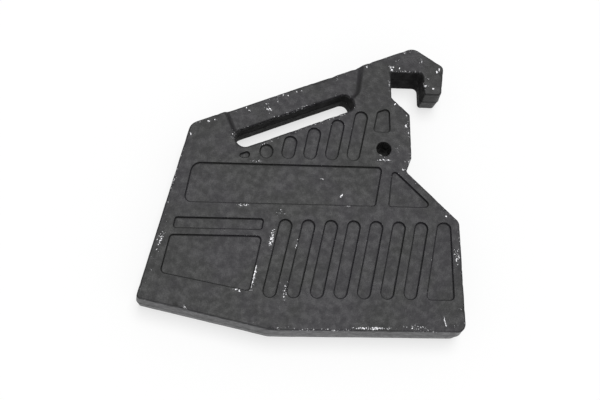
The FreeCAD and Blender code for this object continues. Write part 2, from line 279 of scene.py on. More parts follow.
slot_end = (peak_x - corner_x) / slope_x - SLOT_FROM_PEAK
slot_bottom = BAR_DEPTH + SLOT_WIDTH
slot = [
    (*on_slope(SLOT_FROM_CORNER, slot_bottom), SLOT_LEFT_RADIUS),
    (*on_slope(slot_end, slot_bottom), SLOT_RIGHT_RADIUS),
    (*on_slope(slot_end, BAR_DEPTH), SLOT_RIGHT_RADIUS),
    (*on_slope(SLOT_FROM_CORNER, BAR_DEPTH), SLOT_LEFT_RADIUS),
]
hole_x = neck_x - ROD_HOLE_FROM_NECK
hole_y = waist_y + ROD_HOLE_ABOVE_WAIST
ROD_HOLE = np.array([hole_x, hole_y])

# Thinned grip: a shallow recess across the bar, down to a sill inside the slot
grip_left = SLOT_FROM_CORNER + GRIP_LEFT_SETBACK
grip_right = slot_end + GRIP_RIGHT_SETBACK
grip_bottom = BAR_DEPTH + GRIP_SILL
grip_top_right = grip_right + (grip_bottom + GRIP_OVERRUN) * tan_deg(GRIP_RIGHT_DEG)
grip = [
    (*on_slope(grip_left, grip_bottom), GRIP_CORNER_RADIUS),
    (*on_slope(grip_right, grip_bottom), GRIP_CORNER_RADIUS),
    (*on_slope(grip_top_right, -GRIP_OVERRUN), GRIP_CORNER_RADIUS),
    (*on_slope(grip_left, -GRIP_OVERRUN), GRIP_CORNER_RADIUS),
]
GRIP = np.array(grip)[:, :2]


def rib_corners(low, high):
    """Corners of a round-ended rib pocket: both end centres moved half a width along and across its axis."""
    half = RIB_WIDTH / 2
    low, high = np.array(low), np.array(high)
    along = (high - low) / np.linalg.norm(high - low) * half
    across = np.array([along[1], -along[0]])
    return [(*spot, half) for spot in (
        low - along - across, low - along + across, high + along + across, high + along - across)]


# Panel and corner pocket
panel_top = TOP - PANEL_FROM_TOP
panel_bottom = panel_top - PANEL_HEIGHT
panel_lean = PANEL_HEIGHT * tan_deg(PANEL_LEAN_DEG)
panel_left = left_x(panel_top) + PANEL_LEFT_LAND
panel_right = neck_x - PANEL_FROM_NECK
panel = [
    (panel_left - panel_lean, panel_bottom, PANEL_RADII[0]),
    (panel_right - panel_lean, panel_bottom, PANEL_RADII[1]),
    (panel_right, panel_top, PANEL_RADII[2]),
    (panel_left, panel_top, PANEL_RADII[3]),
]
side_x = panel_right - panel_lean + CORNER_POCKET_LAND
side_lean = tan_deg(CORNER_POCKET_LEAN_DEG)
flank_x = (shoulder_x - FLANK_LAND / math.sin(math.radians(FLANK_DEG))
           - (panel_bottom - shoulder_y) / tan_deg(FLANK_DEG))
corner_rise = (flank_x - side_x) / (side_lean + 1 / tan_deg(FLANK_DEG))
corner_pocket = [
    (side_x, panel_bottom, CORNER_POCKET_RADII[0]),
    (flank_x, panel_bottom, CORNER_POCKET_RADII[1]),
    (side_x + corner_rise * side_lean, panel_bottom + corner_rise, CORNER_POCKET_RADII[2]),
]

# Lower band
band_top = panel_bottom - BAND_GAP
strip_bottom = band_top - STRIP_HEIGHT
strip_left = left_x(band_top) + STRIP_LEFT_LAND
strip_lean = STRIP_HEIGHT * tan_deg(STRIP_LEAN_DEG)
strip = [
    (strip_left - strip_lean, strip_bottom, STRIP_RADIUS),
    (strip_left - strip_lean + STRIP_LENGTH, strip_bottom, STRIP_RADIUS),
    (strip_left + STRIP_LENGTH, band_top, STRIP_RADIUS),
    (strip_left, band_top, STRIP_RADIUS),
]
box_top = strip_bottom - BOX_GAP
box_bottom = FOOT + BOX_ABOVE_FOOT
box_left = left_x(box_top) + BOX_LEFT_LAND
box_right = box_left + BOX_LENGTH
box_low_left = box_bottom + BOX_RISE
figure_box = [
    (box_left - (box_top - box_low_left) * tan_deg(BOX_LEFT_DEG), box_low_left, BOX_RADIUS),
    (box_right - (box_top - box_bottom) * tan_deg(BOX_RIGHT_DEG), box_bottom, BOX_RADIUS),
    (box_right, box_top, BOX_RADIUS),
    (box_left, box_top, BOX_RADIUS),
]
rib_bottom = FOOT + RIB_ABOVE_FOOT
rib_high = band_top - RIB_WIDTH / 2
rib_low = rib_bottom + RIB_WIDTH / 2
end_right = RIGHT - END_POCKET_LAND
end_left = end_right - RIB_WIDTH
end_lean = (band_top - rib_bottom) * tan_deg(END_POCKET_DEG)
end_pocket = [
    (end_left - end_lean, rib_bottom, END_POCKET_RADIUS),
    (end_right, rib_bottom, END_POCKET_RADIUS),
    (end_right, band_top, RIB_WIDTH / 2),
    (end_left, band_top, RIB_WIDTH / 2),
]
first_rib = box_right + RIB_FROM_BOX
last_rib = end_right - RIB_WIDTH / 2 - END_POCKET_PITCH
rib_steps = round((last_rib - first_rib) / RIB_PITCH)
pockets = [panel, corner_pocket, strip, figure_box, end_pocket]
for step in range(rib_steps + 1):
    share = step / rib_steps
    rib_x = first_rib + share * (last_rib - first_rib)
    slant = tan_deg(RIB_FIRST_DEG + share * (RIB_LAST_DEG - RIB_FIRST_DEG))
    pockets.append(rib_corners((rib_x - (rib_high - rib_low) * slant, rib_low), (rib_x, rib_high)))

# Upper band: the ribs stop where the slot no longer leaves room for a round one
upper_bottom = panel_top + UPPER_RIB_GAP
upper_low = upper_bottom + RIB_WIDTH / 2
cap_depth = slot_bottom + SLOT_LAND + RIB_WIDTH / 2
rib_x = neck_x - UPPER_RIB_FROM_NECK
rise = climb(rib_x, upper_low, UPPER_RIB_DEG, cap_depth)
while rise > 0:
    pockets.append(rib_corners((rib_x, upper_low), (rib_x + rise * tan_deg(UPPER_RIB_DEG), upper_low + rise)))
    rib_x -= UPPER_RIB_PITCH
    rise = climb(rib_x, upper_low, UPPER_RIB_DEG, cap_depth)
small_depth = slot_bottom + SMALL_POCKET_LAND
small_left = -climb(0, upper_bottom + SMALL_POCKET_RISE, 0, small_depth) / tan_deg(TOP_SLOPE_DEG)
small_right = small_left + SMALL_POCKET_LENGTH
pockets.append([
    (small_left, upper_bottom, SMALL_POCKET_RADII[0]),
    (small_right, upper_bottom, SMALL_POCKET_RADII[1]),
    (small_right, upper_bottom + climb(small_right, upper_bottom, 0, small_depth), SMALL_POCKET_RADII[2]),
    (small_left, upper_bottom + SMALL_POCKET_RISE, SMALL_POCKET_RADII[3]),
])
neck_pocket_depth = slot_bottom + NECK_POCKET_SLOT_LAND
neck_pocket_right = neck_x - NECK_POCKET_LAND
neck_pocket_left = neck_pocket_right - NECK_POCKET_LENGTH
neck_pocket_bottom = hole_y + ROD_HOLE_RADIUS + HOLE_LAND
left_rise = climb(neck_pocket_left, neck_pocket_bottom, NECK_POCKET_LEAN_DEG, neck_pocket_depth)
right_rise = climb(neck_pocket_right, neck_pocket_bottom, 0, neck_pocket_depth)
pockets.append([
    (neck_pocket_left, neck_pocket_bottom, NECK_POCKET_RADII[0]),
    (neck_pocket_right, neck_pocket_bottom, NECK_POCKET_RADII[1]),
    (neck_pocket_right, neck_pocket_bottom + right_rise, NECK_POCKET_RADII[2]),
    (neck_pocket_left + left_rise * tan_deg(NECK_POCKET_LEAN_DEG), neck_pocket_bottom + left_rise,
     NECK_POCKET_RADII[3]),
])


def noise(points, cell, seed):
    """Smooth value noise from 0 to 1: random numbers on a lattice of this cell size, blended between the
    eight corners round each point by the cubic 3t^2 - 2t^3."""
    lattice = np.random.default_rng(seed).random((64, 64, 64))
    place = np.asarray(points) / cell + 1000.0
    corner = np.floor(place).astype(int)
    share = place - corner
    share = share * share * (3 - 2 * share)
    total = np.zeros(len(place))
    for bits in range(8):
        side = np.array([bits & 1, bits >> 1 & 1, bits >> 2])
        weight = np.where(side, share, 1 - share).prod(1)
        x, y, z = ((corner + side) % 64).T
        total += weight * lattice[x, y, z]
    return total


def rounded_loop(corners, step):
    """Points and outward normals round a closed outline. Each corner is an arc that touches both its sides,
    start - n r s + n(angle) r s, where n is the side's direction turned a quarter clockwise, r the radius and
    s the sense of the turn; the straight rest of each side is shared in equal steps. Point + normal x distance
    is the exact parallel outline."""
    corners = np.array(corners, float)
    spot, radius = corners[:, :2], corners[:, 2]
    way = np.roll(spot, -1, 0) - spot
    way /= np.linalg.norm(way, axis=1)[:, None]
    before = np.roll(way, 1, 0)
    turn = np.arctan2(before[:, 0] * way[:, 1] - before[:, 1] * way[:, 0], (before * way).sum(1))
    start = spot - before * (radius * np.abs(np.tan(turn / 2)))[:, None]
    points, normals = [], []
    for i in range(len(corners)):
        swing = np.linspace(0, turn[i], max(3, math.ceil(abs(turn[i]) / math.radians(11)) + 1))
        heading = math.atan2(-before[i, 0], before[i, 1]) + swing
        normal = np.stack([np.cos(heading), np.sin(heading)], 1)
        bend = radius[i] * np.sign(turn[i])
        arc = start[i] - normal[0] * bend + normal * bend
        gap = start[(i + 1) % len(corners)] - arc[-1]
        length = np.hypot(*gap)
        if length < 0.05:
            points.append(arc[:-1])
            normals.append(normal[:-1])
            continue
        count = max(1, round(length / step))
        share = np.arange(1, count)[:, None] / count
        points.append(np.concatenate([arc, arc[-1] + gap * share]))
        normals.append(np.concatenate([normal, np.repeat(normal[-1:], count - 1, 0)]))
    return np.concatenate(points), np.concatenate(normals)


def arc_profile(centre, radius, first_deg, last_deg, count):
    """Points on an arc in the (outward, height) plane: centre + radius (cos, sin) of equal angles."""
    angle = np.radians(np.linspace(first_deg, last_deg, count))
    return np.stack([centre[0] + radius * np.cos(angle), centre[1] + radius * np.sin(angle)], 1)


def outside_grip(points):
    """Signed distance from the rounded outline of the grip recess, positive outside: the distances to its
    four sides, pushed out by the corner radius, joined by their root sum of squares, less that radius."""
    way = np.roll(GRIP, -1, 0) - GRIP
    normal = np.stack([way[:, 1], -way[:, 0]], 1) / np.linalg.norm(way, axis=1)[:, None]
    past = ((points[:, None, :] - GRIP) * normal).sum(2) + GRIP_CORNER_RADIUS
    return np.linalg.norm(np.maximum(past, 0), axis=1) + np.minimum(past.max(1), 0) - GRIP_CORNER_RADIUS


# The grip recess's wall: a floor fillet and an edge rounding, each touching the leaning wall between them
grip_sin = math.sin(math.radians(GRIP_WALL_DEG))
grip_cos = math.cos(math.radians(GRIP_WALL_DEG))
fillet_x = ((GRIP_FLOOR_RADIUS - GRIP_RECESS) * grip_sin - GRIP_FLOOR_RADIUS) / grip_cos
edge_x = GRIP_EDGE_RADIUS * (1 - grip_sin) / grip_cos
RECESS_WALL = np.concatenate([
    arc_profile((fillet_x, THICK - GRIP_RECESS + GRIP_FLOOR_RADIUS), GRIP_FLOOR_RADIUS, -90, -GRIP_WALL_DEG, 8),
    arc_profile((edge_x, THICK - GRIP_EDGE_RADIUS), GRIP_EDGE_RADIUS, 180 - GRIP_WALL_DEG, 90, 6)])


def face_height(points):
    """Height of the relief face: the grip recess's wall profile read at the signed distance from it."""
    return np.interp(outside_grip(points), RECESS_WALL[:, 0], RECESS_WALL[:, 1])


class Surface:
    """Vertices, faces and rim closeness of the casting, gathered strip by strip."""

    def __init__(self):
        self.points, self.edges, self.faces, self.count = [], [], [], 0

    def add(self, points, edge):
        first = self.count
        self.points.append(points)
        self.edges.append(edge)
        self.count += len(points)
        return first

    def strip(self, rows, edge):
        """Closed strip of quads between loops of equally many points; gives back its first and last loops."""
        depth, around = rows.shape[:2]
        first = self.add(rows.reshape(-1, 3), np.repeat(edge, around))
        index = first + np.arange(depth * around).reshape(depth, around)
        following = np.roll(index, -1, 1)
        quads = np.stack([index[:-1], index[1:], following[1:], following[:-1]], 2).reshape(-1, 4)
        self.faces.append(quads)
        return index[0], index[-1]


surface = Surface()


def wall_rows(loop, normal, rim, swell, seat):
    """Side wall from face to face: for each row an outward offset and a height. A lip and a rim arc follow
    the relief face's height, the wall swells evenly to the parting line, a ridge of ragged flash stands
    there, and the rear half mirrors it. Rows are loop + normal x offset."""
    loop = loop + normal * SKIN
    lean = math.atan(swell / PARTING)
    inset = rim * (math.sin(lean) - 1) / math.cos(lean)
    land = face_height(loop + normal * inset)
    drop = THICK - land
    rows, edge = [], []

    def row(offset, height, near):
        spot = loop + normal * np.broadcast_to(offset, len(loop))[:, None]
        height = np.broadcast_to(height, len(loop)).astype(float)
        if seat:
            above = spot[:, 1] - (ceiling - SEAT_FALL_BEGINS)
            held = np.clip(above / (SEAT_FALL_BEGINS - SEAT_FALL_WHOLE), 0, 1)
            held *= (loop[:, 0] > notch_x) & (loop[:, 0] < notch_tip_x) & (loop[:, 1] < ceiling)
            spot[:, 1] -= SEAT_DROP * held * np.clip(1 - height / PARTING, 0, 1)
        rows.append(np.column_stack([spot, height]))
        edge.append(near)

    row(inset - LIP, land, 0.75)
    turns = np.radians(90 - np.linspace(0, 1, 5) * (90 - math.degrees(lean)))
    for turn in turns:
        row(inset + rim * math.cos(turn) + drop * swell / PARTING, land - rim * (1 - math.sin(turn)), 1.0)
    rim_height = land - rim * (1 - math.sin(lean))
    for share in (0.12, 0.28, 0.46, 0.64, 0.82, 1.0):
        height = rim_height + (PARTING + FLASH_HALF_HEIGHT - rim_height) * share
        row((THICK - height) * swell / PARTING, height, 0.25 if share < 0.2 else 0.0)
    centre = np.column_stack([loop, np.full(len(loop), PARTING)])
    ragged = 0.25 + 0.45 * noise(centre, 21.0, 3) + 0.3 * noise(centre, 4.5, 4)
    for share, stand in ((0.5, 0.45), (0.12, 0.95), (-0.12, 1.0), (-0.5, 0.4)):
        near = swell * (1 - abs(share) * FLASH_HALF_HEIGHT / PARTING)
        row(near + FLASH * stand * ragged, PARTING + share * FLASH_HALF_HEIGHT, 0.3)
    rear_rim = rim * (1 - math.sin(lean))
    for share in (0.0, 0.2, 0.4, 0.6, 0.8, 1.0):
        height = PARTING - FLASH_HALF_HEIGHT + (rear_rim - PARTING + FLASH_HALF_HEIGHT) * share
        row(height * swell / PARTING, height, 0.0)
    for turn in turns[::-1][1:]:
        row(inset + rim * math.cos(turn), rim * (1 - math.sin(turn)), 1.0)
    row(inset - LIP, 0.0, 0.5)
    return np.array(rows), np.array(edge)


def pocket_rows(loop, normal):
    """Wall of a shallow pocket: a small rim arc, a leaning wall that both arcs touch, and a floor fillet, carried
    round the pocket's outline. Its normals point into the pocket, so offsets grow inwards."""
    floor = THICK - POCKET_DEPTH
    lean = math.radians(POCKET_WALL_DEG)
    rim_x = POCKET_RIM_RADIUS * (math.sin(lean) - 1) / math.cos(lean)
    fillet = POCKET_FLOOR_RADIUS
    foot_of_wall = (fillet + (POCKET_DEPTH - fillet) * math.sin(lean)) / math.cos(lean)
    profile = np.concatenate([
        [(rim_x - LIP, THICK)],
        arc_profile((rim_x, THICK - POCKET_RIM_RADIUS), POCKET_RIM_RADIUS, 90, POCKET_WALL_DEG, 4),
        arc_profile((foot_of_wall, floor + fillet), fillet, 180 + POCKET_WALL_DEG, 270, 4),
        [(foot_of_wall + LIP, floor)]])
    edge = np.array([0.3, 0.55, 0.7, 0.7, 0.45, 0.0, 0.0, 0.0, 0.0, 0.0])
    rows = [np.column_stack([loop + normal * offset, np.full(len(loop), height)]) for offset, height in profile]
    return np.array(rows), edge


def within(points, loop):
    """True inside a closed loop: a ray to +X crosses its edges an odd number of times."""
    start, end = loop, np.roll(loop, -1, 0)
    x, y = points[:, :1], points[:, 1:2]
    spans = (start[:, 1] > y) != (end[:, 1] > y)
    rise = np.where(end[:, 1] == start[:, 1], 1.0, end[:, 1] - start[:, 1])
    crossing = start[:, 0] + (y - start[:, 1]) * (end[:, 0] - start[:, 0]) / rise
    return (spans & (x < crossing)).sum(1) % 2 == 1


def clearance(points, others):
    """Distance from each point to the nearest of the others."""
    parts = [np.sqrt(((part[:, None, :] - others) ** 2).sum(2).min(1)) for part in np.array_split(points, 40)]
    return np.concatenate(parts)


# Places where handling has knocked the paint off, each set beside a feature of the casting: x, y,
# half length, half width, direction in degrees, and how much of the paint has gone
outer_loop = rounded_loop(OUTLINE, OUTLINE_STEP)
left_side = 90 - LEFT_LEAN_DEG
rib_side = 90 - RIB_FIRST_DEG
slot_left = SLOT_FROM_CORNER
WORN = [
    # Bar, from its left end to the peak
    (*on_slope(12, 3), 13, 2, TOP_SLOPE_DEG, 0.55),
    (*on_slope(slot_left, 36), 8, 5, 90, 0.55),
    (*on_slope(slot_left + 60, 14), 8, 5, 90, 0.55),
    (*on_slope(slot_left + 62, 16), 3, 2, 0, 1.0),
    (*on_slope(slot_left + 78, 8), 5, 1, -80, 0.75),
    (peak_x - 25, peak_y - 20, 7, 6, 0, 0.35),
    (peak_x + 10, peak_y - 20, 7, 4, 90, 0.45),
    # Land under the slot
    (*on_slope(slot_left + 40, slot_bottom + 4), 17, 2, TOP_SLOPE_DEG, 0.5),
    (small_left + 22, upper_bottom - 5, 10, 1.5, 0, 0.65),
    # Notch, tip and neck
    (notch_x + NOTCH_WIDTH / 2, ceiling, 22, 2, 0, 0.7),
    (notch_tip_x, ceiling - 20, 8, 2, 105, 0.85),
    (notch_x - 3, ceiling - 26, 12, 1.5, 90, 0.6),
    ((notch_x + neck_x) / 2, TOP - NECK_FROM_TOP + 12, 15, 1.5, -45, 0.4),
    (neck_x - 2, waist_y + 64, 22, 4, 90, 0.5),
    (neck_x - 6, waist_y + 66, 4, 2.5, 90, 0.8),
    # Round the rod hole
    (hole_x, hole_y - ROD_HOLE_RADIUS - 6, 9, 2, 0, 0.8),
    (hole_x + 2 * ROD_HOLE_RADIUS, hole_y, 6, 4, 0, 0.45),
    # Panel's floor and the land under it
    (panel_right - 84, panel_top - 19, 3, 1.2, -66, 1.0),
    (panel_right - 58, panel_top - 42, 3, 1.2, 46, 1.0),
    (panel_left + 70, panel_bottom - 2, 10, 1.3, 0, 0.8),
    (panel_right - 50, panel_bottom, 5, 1, 0, 1.0),
    ((strip_left + panel_right) / 2, panel_bottom - BAND_GAP / 2, 7, 6, 0, 0.5),
    # Figure box, and the land between it and the first rib
    (box_right - 11, (box_top + box_bottom) / 2 - 18, 18, 1.2, rib_side, 1.25),
    (box_right - 30, box_bottom + 2, 10, 1.2, -5, 0.8),
    ((box_right + first_rib) / 2 - 3, rib_high - 18, 13, 3, rib_side, 0.85),
    (first_rib + RIB_PITCH / 2, rib_high - 25, 9, 1.5, rib_side, 0.85),
    (first_rib, rib_bottom + 9, 17, 4, rib_side, 0.55),
    # Foot, its right corner, the right edge and the left edge
    (RIGHT - 125, FOOT + 4, 29, 2, 0, 0.8),
    (RIGHT - 66, FOOT + 6, 20, 3, -6, 0.55),
    (heel_x + HEEL_RISE / tan_deg(RAMP_DEG) + 20, FOOT + 3, 13, 1.2, 0, 0.5),
    (RIGHT - 28, FOOT + 14, 8, 1.2, 100, 0.85),
    (RIGHT - 12, FOOT + 8, 10, 2.5, 0, 0.4),
    (RIGHT - 7, shoulder_y - 50, 13, 4, 90, 0.65),
    (left_x(heel_y + 80) + 8, heel_y + 80, 13, 3, left_side, 0.65),
    (left_x(heel_y + 65) + 8, heel_y + 65, 45, 7, left_side, 0.27),
]


def specks(count):
    """Small chips close to the outer rim: seeded points of the outline, moved in by 2 to 9 mm."""
    pick = dice.integers(0, len(outer_loop[0]), count)
    spot = outer_loop[0][pick] - outer_loop[1][pick] * dice.uniform(2, 9, count)[:, None]
    size = dice.uniform(0.8, 1.8, count)
    return np.column_stack([
        spot, size * dice.uniform(1.0, 1.8, count), size, dice.uniform(0, 180, count),
        dice.uniform(0.7, 1.1, count)])


CHIPS = np.concatenate([np.array(WORN), specks(40)])


def chipped(points):
    """How much paint has gone: the greatest of the chips, each strength x exp(-(u^2 + v^2)^2), with u and v
    the distances along and across it over its half sizes."""
    turn = np.radians(CHIPS[:, 4])
    shift = points[:, None, :2] - CHIPS[:, :2]
    along = (shift[..., 0] * np.cos(turn) + shift[..., 1] * np.sin(turn)) / CHIPS[:, 2]
    across = (shift[..., 1] * np.cos(turn) - shift[..., 0] * np.sin(turn)) / CHIPS[:, 3]
    return (CHIPS[:, 5] * np.exp(-((along ** 2 + across ** 2) / 1.4) ** 2)).max(1)


def scattered(outer, holes, coarse, fine):
    """Points to fill a flat region: a square grid, each point moved at random by up to a quarter of its gap,
    with a fine grid where paint is chipped or the grip recess falls away, and none near the region's rims."""
    rims = np.concatenate([outer, *holes])
    low, high = outer.min(0), outer.max(0)
    kept = []
    for level, gap in enumerate((coarse, fine, 0.65 * fine)):
        across, up = np.meshgrid(np.arange(low[0], high[0], gap), np.arange(low[1], high[1], gap))
        grid = np.stack([across.ravel(), up.ravel()], 1)
        grid += dice.uniform(-0.25, 0.25, grid.shape) * gap
        gone = chipped(grid)
        need = np.where((gone > 0.05) | (np.abs(outside_grip(grid) + 3.2) < 5.6), 1, 0)
        grid = grid[np.where(gone > 0.5, 2, need) == level]
        if len(grid) == 0:
            continue
        grid = grid[within(grid, outer)]
        for hole in holes:
            grid = grid[~within(grid, hole)]
        kept.append(grid[clearance(grid, rims) > 0.55 * gap])
    return np.concatenate(kept)


def fill(outer, holes, coarse, fine, height, edge, upwards):
    """Triangulated flat region between loops of known vertices (index, xy), with scattered points inside: the
    constrained Delaunay triangulation. Its new points take their height from the given function of xy."""
    loops = [outer, *holes]
    inner = scattered(outer[1], [hole[1] for hole in holes], coarse, fine)
    flat = np.concatenate([loop[1] for loop in loops] + [inner])
    sizes = [len(loop[1]) for loop in loops]
    starts = np.concatenate([[0], np.cumsum(sizes)])
    borders = np.concatenate([
        np.stack([np.arange(size), np.roll(np.arange(size), -1)], 1) + start for size, start in zip(sizes, starts)])
    spots, _, triangles, _, _, _ = delaunay_2d_cdt(flat.tolist(), borders.tolist(), [], 1, 1e-6)
    if len(spots) != len(flat):
        raise ValueError("a flat region's loops cross or touch")
    triangles = np.array(triangles)
    for hole in holes:
        triangles = triangles[~within(flat[triangles].mean(1), hole[1])]
    first = surface.add(np.column_stack([inner, height(inner)]), edge(inner, flat[:starts[-1]]))
    index = np.concatenate([loop[0] for loop in loops] + [first + np.arange(len(inner))])
    triangles = index[triangles]
    surface.faces.append(triangles if upwards else triangles[:, ::-1])


# Walls, rims and pockets, then the flat land between them
rows, edge = wall_rows(*outer_loop, RIM_RADIUS, SPREAD, True)
front_rim, rear_rim = surface.strip(rows, edge)
front_holes, rear_holes = [], []
front_outer, rear_outer = (front_rim, rows[0][:, :2]), (rear_rim, rows[-1][:, :2])
square = [(-1, -1), (1, -1), (1, 1), (-1, 1)]
hole_corners = [(*(ROD_HOLE + np.array(side) * ROD_HOLE_RADIUS), ROD_HOLE_RADIUS) for side in square]
for corners, rim, swell in ((slot, SLOT_RIM_RADIUS, SPREAD), (hole_corners, ROD_HOLE_RIM_RADIUS, 0.0)):
    loop, normal = rounded_loop(corners[::-1], SLOT_STEP)
    rows, edge = wall_rows(loop, normal, rim, swell, False)
    first, last = surface.strip(rows, edge)
    front_holes.append((first, rows[0][:, :2]))
    rear_holes.append((last, rows[-1][:, :2]))
pocket_floors = []
for corners in pockets:
    loop, normal = rounded_loop(corners[::-1], POCKET_STEP)
    rows, edge = pocket_rows(loop, normal)
    first, last = surface.strip(rows, edge)
    front_holes.append((first, rows[0][:, :2]))
    pocket_floors.append((last[::-1], rows[-1][::-1, :2]))


def near_rim(points, rims):
    """Closeness to a rim: exp(-(distance / 3 mm))."""
    return 0.8 * np.exp(-clearance(points, rims) / 3.0)


def no_rim(points, rims):
    """Nothing: a pocket's floor has no rim."""
    return np.zeros(len(points))


def level(height):
    """A flat height for every point."""
    return lambda points: np.full(len(points), height)


fill(front_outer, front_holes, 4.4, 1.35, face_height, near_rim, True)
for floor in pocket_floors:
    fill(floor, [], 4.4, 1.35, level(THICK - POCKET_DEPTH), no_rim, True)
fill(rear_outer, rear_holes, 7.0, 7.0, level(0.0), near_rim, False)


def inside_openings(points):
    """One inside the slot, the rod hole and the notch, where the paint gets painted shade and more roughness, and
    zero elsewhere.
    """
    loop, normal = rounded_loop(slot[::-1], SLOT_STEP)
    in_slot = within(points, loop - normal * 2)
    hole = np.linalg.norm(points - ROD_HOLE, axis=1) < ROD_HOLE_RADIUS + 0.8
    notch = (points[:, 0] > notch_x - 2) & (points[:, 0] < notch_tip_x + 1.5)
    notch &= (points[:, 1] > ceiling - NOTCH_BACK_LENGTH - 3) & (points[:, 1] < ceiling + 2)
    return (in_slot | hole | notch).astype(float)


def casting_mesh():
    """The gathered surface as one mesh, in metres. Every vertex is then moved in along its normal by the cast
    skin: waves of 40, 13 and 5 mm, nicks on the rims where a 7 mm noise is high, and dents under the chips."""
    points = np.concatenate(surface.points)
    near = np.concatenate(surface.edges)
    quads = np.concatenate([part for part in surface.faces if part.shape[1] == 4])
    triangles = np.concatenate([part for part in surface.faces if part.shape[1] == 3])
    mesh = bpy.data.meshes.new("casting")
    mesh.vertices.add(len(points))
    mesh.loops.add(quads.size + triangles.size)
    mesh.polygons.add(len(quads) + len(triangles))
    mesh.vertices.foreach_set("co", points.astype(np.float32).ravel())
    mesh.loops.foreach_set("vertex_index", np.concatenate([quads.ravel(), triangles.ravel()]).astype(np.int32))
    mesh.polygons.foreach_set("loop_start", np.concatenate([
        np.arange(len(quads)) * 4, quads.size + np.arange(len(triangles)) * 3]).astype(np.int32))
    mesh.update(calc_edges=True)
    mesh.validate()
    normals = np.empty(len(points) * 3, np.float32)
    mesh.vertex_normals.foreach_get("vector", normals)
    below = np.maximum(face_height(points[:, :2]) - points[:, 2], 0)
    below = np.where(below < POCKET_DEPTH + 0.1, np.minimum(below, 0.6), below)
    chips = chipped(points) * np.exp(-(below / 2.6) ** 2)
    # Painted shade: points inside the slot, the rod hole and the notch, below the face, are marked to be darkened
    # near black
    opening_shade = ((points[:, 2] > 2.0) & (below > 1.5)) * inside_openings(points[:, :2])
    # Painted reflection of the floor: walls facing down the face near the foot are marked to be lightened
    floor_reflection = np.clip(-1.6 * normals.reshape(-1, 3)[:, 1] - 0.5, 0, 1) * (points[:, 1] < heel_y + 15)
    skin = 0.26 * noise(points, 40.0, 11) + 0.2 * noise(points, 13.0, 12) + 0.14 * noise(points, 5.0, 13)
    nicks = np.clip(noise(points, 7.0, 14) - 0.66, 0, 1) * 2.6 * np.clip(near - 0.8, 0, 1) * 5
    depth = skin + nicks + 0.15 * np.clip(chips, 0, 1)
    points = points - normals.reshape(-1, 3) * depth[:, None]
    points[:, :2] += MIDDLE
    points[:, 2] += LOW[2]
    points = np.clip(points, LOW + 0.02, HIGH - 0.02)
    mesh.vertices.foreach_set("co", (points * MM).astype(np.float32).ravel())
    mesh.polygons.foreach_set("use_smooth", np.ones(len(mesh.polygons), bool))
    for name, values in (("rim_wear", near), ("chips", chips), ("opening_shade", opening_shade), ("floor_reflection", floor_reflection)):
        mesh.attributes.new(name, "FLOAT", "POINT").data.foreach_set("value", values.astype(np.float32))
    mesh.update()
    return mesh


casting = bpy.data.objects.new("casting", casting_mesh())
bpy.context.scene.collection.objects.link(casting)


# ---------------------------------------------------------------- finish
class Shader:
    """A material's nodes, added one at a time with their settings and inputs."""

    def __init__(self, name):
        self.material = bpy.data.materials.new(name)
        self.material.use_nodes = True
        self.tree = self.material.node_tree
        self.tree.nodes.clear()

    def add(self, kind, settings=None, **inputs):
        made = self.tree.nodes.new("ShaderNode" + kind)
        for name, value in (settings or {}).items():
            setattr(made, name, value)
        for name, value in inputs.items():
            socket = made.inputs[int(name[1:])] if name[0] == "_" else made.inputs[name.replace("_", " ")]
            if isinstance(value, bpy.types.NodeSocket):
                self.tree.links.new(value, socket)
            else:
                socket.default_value = value
        return made

    def noise(self, place, scale, detail=2.0, rough=0.5):
        made = self.add("TexNoise", Vector=place, Scale=scale, Detail=detail, Roughness=rough)
        return made.outputs["Fac"]

    def math(self, operation, first, second=0.0, third=0.0):
        return self.add("Math", {"operation": operation}, _0=first, _1=second, _2=third).outputs[0]

    def spread(self, value, low, high, to_low=0.0, to_high=1.0):
        made = self.add("MapRange", {"interpolation_type": "SMOOTHSTEP"}, _0=value, _1=low, _2=high,
                        _3=to_low, _4=to_high)
        return made.outputs[0]

    def mix(self, share, first, second):
        made = self.add("Mix", {"data_type": "RGBA"}, _0=share, _6=first, _7=second)
        return made.outputs[2]


